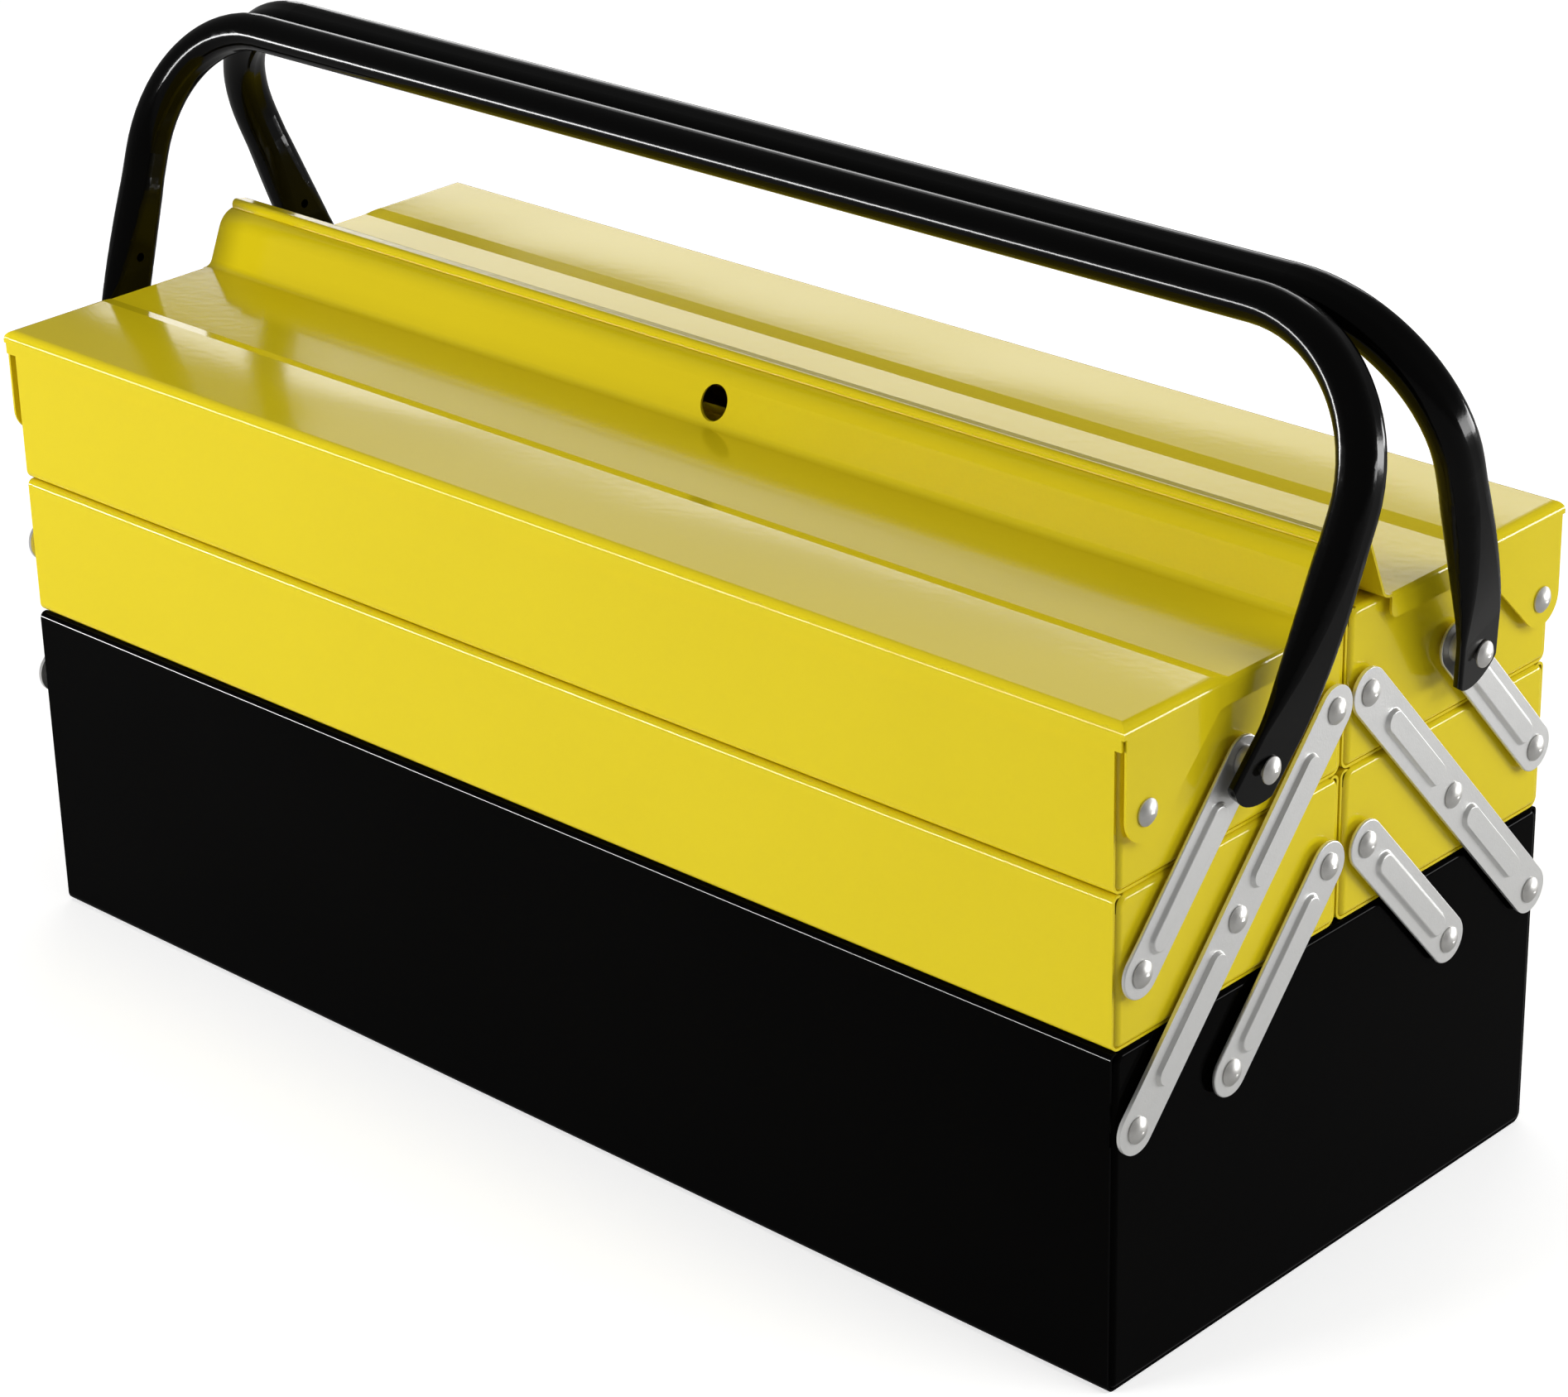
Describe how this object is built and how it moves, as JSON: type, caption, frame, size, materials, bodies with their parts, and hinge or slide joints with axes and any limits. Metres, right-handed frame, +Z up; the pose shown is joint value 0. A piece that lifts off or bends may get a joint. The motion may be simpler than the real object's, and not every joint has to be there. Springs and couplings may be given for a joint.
{
  "type": "tool box",
  "caption": "Cantilever tool box in yellow and black enamelled sheet steel, with trays that swing out on zinc-plated links, two lids and two tube handles",
  "frame": {"origin": "on the floor under the middle of the box, trays shut and handles up", "axes": "+X along the box to the end on the right, +Y to the rear, +Z up; the front is -Y"},
  "size_m": [0.4986, 0.1978, 0.2912],
  "materials": {
    "yellow_enamel": "high gloss baked enamel, clear and smooth with a faint orange peel",
    "black_enamel": "high gloss black baked enamel",
    "handle_enamel": "gloss black enamel on steel tube",
    "zinc_links": "satin zinc plate on pressed steel strip",
    "zinc_rivets": "bright zinc plate, domed heads"
  },
  "bodies": {
    "base": {"base_wrap": "black_enamel", "base_end_left": "black_enamel", "base_end_right": "black_enamel", "base_rivets": "zinc_rivets"},
    "front_long_links": {"front_long_link_left": "zinc_links", "front_long_link_right": "zinc_links"},
    "front_lower_links": {"front_lower_link_left": "zinc_links", "front_lower_link_right": "zinc_links"},
    "front_upper_links": {"front_upper_link_left": "zinc_links", "front_upper_link_right": "zinc_links"},
    "front_lower_tray": {"front_lower_tray_wrap": "yellow_enamel", "front_lower_tray_end_left": "yellow_enamel", "front_lower_tray_end_right": "yellow_enamel", "front_lower_tray_rivets": "zinc_rivets"},
    "front_upper_tray": {"front_upper_tray_wrap": "yellow_enamel", "front_upper_tray_end_left": "yellow_enamel", "front_upper_tray_end_right": "yellow_enamel", "front_upper_tray_rivets": "zinc_rivets", "front_handle_rivets": "zinc_rivets", "front_handle_spacers": "zinc_rivets", "front_lid_rivets": "zinc_rivets"},
    "front_lid": {"front_lid": "yellow_enamel"},
    "front_handle": {"front_handle": "handle_enamel"},
    "rear_long_links": {"rear_long_link_left": "zinc_links", "rear_long_link_right": "zinc_links"},
    "rear_lower_links": {"rear_lower_link_left": "zinc_links", "rear_lower_link_right": "zinc_links"},
    "rear_upper_links": {"rear_upper_link_left": "zinc_links", "rear_upper_link_right": "zinc_links"},
    "rear_lower_tray": {"rear_lower_tray_wrap": "yellow_enamel", "rear_lower_tray_end_left": "yellow_enamel", "rear_lower_tray_end_right": "yellow_enamel", "rear_lower_tray_rivets": "zinc_rivets"},
    "rear_upper_tray": {"rear_upper_tray_wrap": "yellow_enamel", "rear_upper_tray_end_left": "yellow_enamel", "rear_upper_tray_end_right": "yellow_enamel", "rear_upper_tray_rivets": "zinc_rivets", "rear_handle_rivets": "zinc_rivets", "rear_handle_spacers": "zinc_rivets", "rear_lid_rivets": "zinc_rivets"},
    "rear_lid": {"rear_lid": "yellow_enamel"},
    "rear_handle": {"rear_handle": "handle_enamel"}
  },
  "joints": [
    {"name": "front_tray_swing", "type": "hinge", "parent": "base", "child": "front_long_links", "pos_m": [0, -0.0913, 0.082], "axis": [1, 0, 0], "range_deg": [0, 83.7]},
    {"name": "front_lower_link_swing", "type": "hinge", "parent": "base", "child": "front_lower_links", "pos_m": [0, -0.0506, 0.082], "axis": [1, 0, 0], "range_deg": [0, 83.7]},
    {"name": "front_lower_tray_level", "type": "hinge", "parent": "front_long_links", "child": "front_lower_tray", "pos_m": [0, -0.0495, 0.1286], "axis": [1, 0, 0], "range_deg": [-83.7, 0]},
    {"name": "front_upper_tray_level", "type": "hinge", "parent": "front_long_links", "child": "front_upper_tray", "pos_m": [0, -0.0077, 0.1752], "axis": [1, 0, 0], "range_deg": [-83.7, 0]},
    {"name": "front_upper_link_swing", "type": "hinge", "parent": "front_lower_tray", "child": "front_upper_links", "pos_m": [0, -0.0902, 0.1286], "axis": [1, 0, 0], "range_deg": [0, 83.7]},
    {"name": "front_lid_hinge", "type": "hinge", "parent": "front_upper_tray", "child": "front_lid", "pos_m": [0, -0.0892, 0.1756], "axis": [1, 0, 0], "range_deg": [0, 125]},
    {"name": "front_handle_hinge", "type": "hinge", "parent": "front_upper_tray", "child": "front_handle", "pos_m": [0, -0.0484, 0.1752], "axis": [1, 0, 0], "range_deg": [0, 160]},
    {"name": "rear_tray_swing", "type": "hinge", "parent": "base", "child": "rear_long_links", "pos_m": [0, 0.0913, 0.082], "axis": [-1, 0, 0], "range_deg": [0, 83.7]},
    {"name": "rear_lower_link_swing", "type": "hinge", "parent": "base", "child": "rear_lower_links", "pos_m": [0, 0.0506, 0.082], "axis": [-1, 0, 0], "range_deg": [0, 83.7]},
    {"name": "rear_lower_tray_level", "type": "hinge", "parent": "rear_long_links", "child": "rear_lower_tray", "pos_m": [0, 0.0495, 0.1286], "axis": [-1, 0, 0], "range_deg": [-83.7, 0]},
    {"name": "rear_upper_tray_level", "type": "hinge", "parent": "rear_long_links", "child": "rear_upper_tray", "pos_m": [0, 0.0077, 0.1752], "axis": [-1, 0, 0], "range_deg": [-83.7, 0]},
    {"name": "rear_upper_link_swing", "type": "hinge", "parent": "rear_lower_tray", "child": "rear_upper_links", "pos_m": [0, 0.0902, 0.1286], "axis": [-1, 0, 0], "range_deg": [0, 83.7]},
    {"name": "rear_lid_hinge", "type": "hinge", "parent": "rear_upper_tray", "child": "rear_lid", "pos_m": [0, 0.0892, 0.1756], "axis": [-1, 0, 0], "range_deg": [0, 125]},
    {"name": "rear_handle_hinge", "type": "hinge", "parent": "rear_upper_tray", "child": "rear_handle", "pos_m": [0, 0.0484, 0.1752], "axis": [-1, 0, 0], "range_deg": [0, 160]}
  ],
  "couplings": [
    {"joint": "front_lower_link_swing", "follows": "front_tray_swing", "ratio": 1},
    {"joint": "front_lower_tray_level", "follows": "front_tray_swing", "ratio": -1},
    {"joint": "front_upper_tray_level", "follows": "front_tray_swing", "ratio": -1},
    {"joint": "front_upper_link_swing", "follows": "front_tray_swing", "ratio": 1},
    {"joint": "rear_lower_link_swing", "follows": "rear_tray_swing", "ratio": 1},
    {"joint": "rear_lower_tray_level", "follows": "rear_tray_swing", "ratio": -1},
    {"joint": "rear_upper_tray_level", "follows": "rear_tray_swing", "ratio": -1},
    {"joint": "rear_upper_link_swing", "follows": "rear_tray_swing", "ratio": 1}
  ]
}
